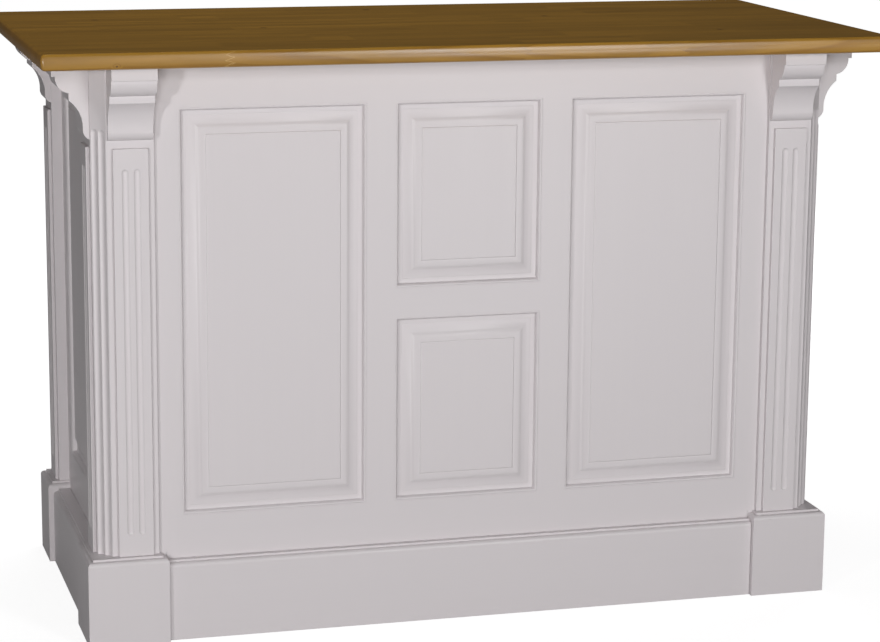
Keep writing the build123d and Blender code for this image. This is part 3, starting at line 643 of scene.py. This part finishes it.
def stand_in(piece, name):
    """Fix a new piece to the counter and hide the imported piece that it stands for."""
    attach(piece, "root")
    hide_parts(name)


print(len(models), "sizes of opening to fit")

# %% Fit the mouldings in their openings
OPENINGS = {
    "front_panel_left": (TALL, (-0.36975, FRONT_FACE, 0.611), 0, "front_tall_beads"),
    "front_panel_right": (TALL, (0.36975, FRONT_FACE, 0.611), 0, "front_tall_beads"),
    "front_panel_upper": (UPPER, (0, FRONT_FACE, 0.81525), 0, "front_centre_beads"),
    "front_panel_lower": (LOWER, (0, FRONT_FACE, 0.4095), 0, "front_centre_beads"),
    "side_panel_left": (SIDE, (-SIDE_FACE, 0.0275, 0.611), -90, "side_beads"),
    "side_panel_right": (SIDE, (SIDE_FACE, 0.0275, 0.611), 90, "side_beads"),
}


def fitted(model, name, place, turn):
    """A copy of a modelled piece, put in its opening and painted, with its object left at the origin."""
    piece = copy_of(model, name)
    piece.location = place
    piece.rotation_euler = (0, 0, radians(turn))
    bpy.ops.object.transform_apply(location=True, rotation=True)
    piece.data.materials.append(paint_along[2])
    return piece


rings = {}
for name, (size, place, turn, group) in OPENINGS.items():
    panel, bead = models[size]
    stand_in(fitted(panel, name + "_moulded", place, turn), name)
    rings.setdefault(group, []).append(fitted(bead, name + "_ring", place, turn))
for group, pieces in rings.items():
    stand_in(joined(pieces, group + "_moulded"), group)
for pair in models.values():
    for model in pair:
        bpy.data.objects.remove(model)
print(len(OPENINGS), "panels and", len(rings), "sets of beads")

# %% [markdown]
# ## Eased edges
# No painter leaves an edge sharp, because paint runs off it. So every board that stands free of its
# neighbours gets its outer edges rounded by about a millimetre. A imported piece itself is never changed: it
# is copied, its triangles are merged back into the flat faces that they came from, and only its outward
# edges are selected and bevelled. Frame members that are sanded flush with each other keep their edges,
# because a round there would draw a joint line that the painted front doesn't show. Smooth shading would
# bend the light on the flats next to each round, so normals are weighted by area, which keeps them flat.

# %% Copy a board and merge its triangles
FLAT = radians(0.5)
JUST_INSIDE = 0.001


def merged_copy(name, ending, stave=None):
    """A copy of a packed board, or of one of its staves, merged to flat faces and left open for editing."""
    piece = copy_of(nodes[name], name + ending)
    del piece["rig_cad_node"]
    bpy.ops.mesh.customdata_custom_splitnormals_clear()
    bpy.ops.object.mode_set(mode="EDIT")
    bpy.ops.mesh.select_mode(type="FACE")
    if stave is not None:
        shape = bmesh.from_edit_mesh(piece.data)
        for face in shape.faces:
            within = face.calc_center_median() - JUST_INSIDE * face.normal
            face.select_set(int((within.y + TOP_DEPTH / 2) / STAVE_WIDE) != stave)
        bmesh.update_edit_mesh(piece.data)
        bpy.ops.mesh.delete(type="FACE")
    bpy.ops.mesh.select_mode(type="EDGE")
    bpy.ops.mesh.select_all(action="SELECT")
    bpy.ops.mesh.remove_doubles(threshold=MERGE)
    bpy.ops.mesh.dissolve_limited(angle_limit=FLAT)
    bpy.ops.mesh.select_all(action="DESELECT")
    return piece


def smoothed(piece):
    """Smooth the rounds of the active piece and keep its flats flat."""
    bpy.ops.object.mode_set(mode="OBJECT")
    bpy.ops.object.shade_smooth_by_angle(angle=SMOOTH)
    weigh = piece.modifiers.new("keep_flats_flat", "WEIGHTED_NORMAL")
    weigh.keep_sharp = True
    bpy.ops.object.modifier_apply(modifier=weigh.name)
    return piece


print("rounds are smooth up to", round(SMOOTH, 3), "radians")

# %% Ease the boards that stand free
OUTWARD = radians(50)
EASES = {"post_": 0.0012, "fluted_": 0.0008, "plinth_": 0.0012, "rear_": 0.0015}
EASES.update({"corbel_front": 0.0008, "corbel_side": 0.0008})
EASES.update({"floor_": 0.0012, "centre_": 0.0012, "shelves": 0.0015, "top_cleats": 0.0015})
END_CLEAT = 0.6


def eased(name, ease):
    """A copy of a packed board with its outward edges rounded."""
    piece = merged_copy(name, "_eased")
    shape = bmesh.from_edit_mesh(piece.data)
    for edge in shape.edges:
        edge.select_set(edge.is_manifold and edge.calc_face_angle_signed() > OUTWARD)
    bmesh.update_edit_mesh(piece.data)
    bpy.ops.mesh.bevel(offset=ease, segments=2, clamp_overlap=True)
    stand_in(smoothed(piece), name)
    return piece


soft_edged = {}
for name in nodes:
    for start, ease in EASES.items():
        if name.startswith(start):
            soft_edged[name] = eased(name, ease)
cleats = soft_edged["top_cleats"]
cleats.data.materials.append(clear_pine["side_cleats"])
for face in cleats.data.polygons:
    face.material_index = int(abs(face.center.x) > END_CLEAT)
print(len(soft_edged), "boards eased,", sum(len(p.data.polygons) for p in soft_edged.values()), "faces")

# %% [markdown]
# ## Crowned top
# The long edge of the top catches a streak of light in its upper half and falls darker below, so it isn't
# flat: a hand-sanded edge ends up crowned. Each stave is copied, cut level by level with flat planes, and
# each level is drawn in towards the middle of the top, by the square of its distance from the middle level.
# Staves that touch are kept apart until they are joined, because merged ones would share their hidden faces
# and shade wrongly.

# %% Crown the outer edges of the staves
CROWN = 0.0030
TOP_HALF_THICK, TOP_HALF_LONG, TOP_HALF_DEEP = 0.015, 0.800, 0.400
CUTS_A_SIDE, CUT_GAP = 4, 0.0023
STAVES = {
    "worktop_front_stave": (0,),
    "worktop_middle_staves": (1, 2, 3, 4),
    "worktop_rear_stave": (5,),
}


def crowned_stave(name, number):
    """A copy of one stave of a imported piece, with a shallow arc along its outer edges."""
    piece = merged_copy(name, "_crowned", number)
    for count in range(-CUTS_A_SIDE, CUTS_A_SIDE + 1):
        bpy.ops.mesh.select_all(action="SELECT")
        bpy.ops.mesh.bisect(plane_co=(0, 0, TOP_MIDDLE + count * CUT_GAP), plane_no=(0, 0, 1))
    bpy.ops.mesh.select_mode(type="VERT")
    shape = bmesh.from_edit_mesh(piece.data)
    for level in sorted({round(point.co.z, 5) for point in shape.verts}):
        back = CROWN * ((level - TOP_MIDDLE) / TOP_HALF_THICK) ** 2
        bpy.ops.mesh.select_all(action="DESELECT")
        shape = bmesh.from_edit_mesh(piece.data)
        for point in shape.verts:
            point.select_set(abs(point.co.z - level) < MERGE)
        bmesh.update_edit_mesh(piece.data)
        draw_in = (1 - back / TOP_HALF_LONG, 1 - back / TOP_HALF_DEEP, 1)
        bpy.ops.transform.resize(value=draw_in, center_override=(0, 0, level))
    bpy.ops.object.mode_set(mode="OBJECT")
    return piece


for name, numbers in STAVES.items():
    piece = joined([crowned_stave(name, number) for number in numbers], name + "_crowned")
    stand_in(smoothed(piece), name)
    print(piece.name, len(piece.data.polygons), "faces")

# %% [markdown]
# ## Stage
# The counter stands on matt white paper in white surroundings. Lighting them until they are white would
# flood the counter, so they glow for the camera: a Light Path node tells rays apart, and gloss and soft
# light get only a small share, so that wax and paint don't turn milky. Near the counter the paper's glow
# stops a little short of white, which lets the soft shadow show.

# %% Floor and surroundings
PAPER_SIZE = 24
GLOW_FROM, GLOW_TO, GLOW_LOW = 0.9, 3.0, 0.86
PAPER_SHARES = {"Is Glossy Ray": 0.05}
SKY_SHARES = {"Is Glossy Ray": 0.02, "Is Diffuse Ray": 0.03}


def seen_white(tree, shares):
    """A strength of one for camera and transmission rays, and a small share for other kinds of ray."""
    ray = add(tree, "LightPath", {}).node.outputs
    strength = {0: ray["Is Camera Ray"], 1: ray["Is Transmission Ray"]}
    strength = add(tree, "Math", strength, operation="MAXIMUM")
    for kind, share in shares.items():
        strength = add(tree, "Math", {0: ray[kind], 1: share, 2: strength}, operation="MULTIPLY_ADD")
    return strength


bpy.ops.object.select_all(action="DESELECT")
bpy.ops.mesh.primitive_plane_add(size=PAPER_SIZE, location=(0, 0, 0))
floor = bpy.context.object
floor.name = "paper_floor"
paper, tree, shader = finish_named("white_paper")
shader.inputs["Base Color"].default_value = linear("#A0A0A0")
shader.inputs["Roughness"].default_value = 0.9
shader.inputs["Specular IOR Level"].default_value = 0.0
shader.inputs["Emission Color"].default_value = (1, 1, 1, 1)
spot = add(tree, "TexCoord", {}, "Object")
away = add(tree, "VectorMath", {0: spot}, "Value", operation="LENGTH")
glow = {"Value": away, 1: GLOW_FROM, 2: GLOW_TO, 3: GLOW_LOW, 4: 1.0}
glow = add(tree, "MapRange", glow, interpolation_type="SMOOTHSTEP")
lift = add(tree, "Math", {0: seen_white(tree, PAPER_SHARES), 1: glow}, operation="MULTIPLY")
tree.links.new(lift, shader.inputs["Emission Strength"])
floor.data.materials.append(paper)

world = bpy.data.worlds.new("studio")
bpy.context.scene.world = world
world.use_nodes = True
sky = world.node_tree.nodes["Background"]
sky.inputs["Color"].default_value = (1, 1, 1, 1)
fill = seen_white(world.node_tree, SKY_SHARES)
world.node_tree.links.new(fill, sky.inputs["Strength"])
print("floor and surroundings are white to the camera")

# %% [markdown]
# ## Light
# A small soft box at the left throws the corbels' clear shadows. A larger, higher one in front of the right
# half throws the soft shadow under the overhang and puts a sheen on the hollows. Two low, wide ones fill
# the rest, one lights the top from overhead, and a last one, behind on the right, lights the sides that the
# camera doesn't see. Those last two would show as a glare on the waxed top, so gloss doesn't see them.

# %% Lamps
LAMPS = {
    "key_left": ((-3.4, -3.8, 1.52), (0, -0.3, 0.6), (0.35, 0.35), 52),
    "key_right": ((1.35, -4.6, 2.15), (0, -0.3, 0.6), (0.8, 0.8), 53),
    "fill_left": ((-2.2, -5.2, 0.75), (0, -0.3, 0.4), (1.4, 1.4), 74),
    "fill_right": ((1.6, -5.0, 0.45), (0, -0.3, 0.4), (0.7, 0.5), 30),
    "over_top": ((-0.5, 0.7, 3.60), (-0.2, 0.3, 1.1), (2.0, 1.0), 41),
    "rear_right": ((3.6, 3.2, 1.30), (0, 0.2, 0.6), (1.8, 1.2), 80),
}
NO_GLARE = ("over_top", "rear_right")


def soft_box(name, place, aim, size, watts):
    """A rectangular soft box that points at a spot."""
    bpy.ops.object.light_add(type="AREA", location=place)
    lamp = bpy.context.object
    lamp.name = name
    lamp.rotation_euler = (Vector(aim) - Vector(place)).to_track_quat("-Z", "Y").to_euler()
    lamp.data.shape = "RECTANGLE"
    lamp.data.size, lamp.data.size_y = size
    lamp.data.energy = watts
    lamp.visible_glossy = name not in NO_GLARE


for name, settings in LAMPS.items():
    soft_box(name, *settings)
bpy.context.scene.view_settings.view_transform = "Standard"
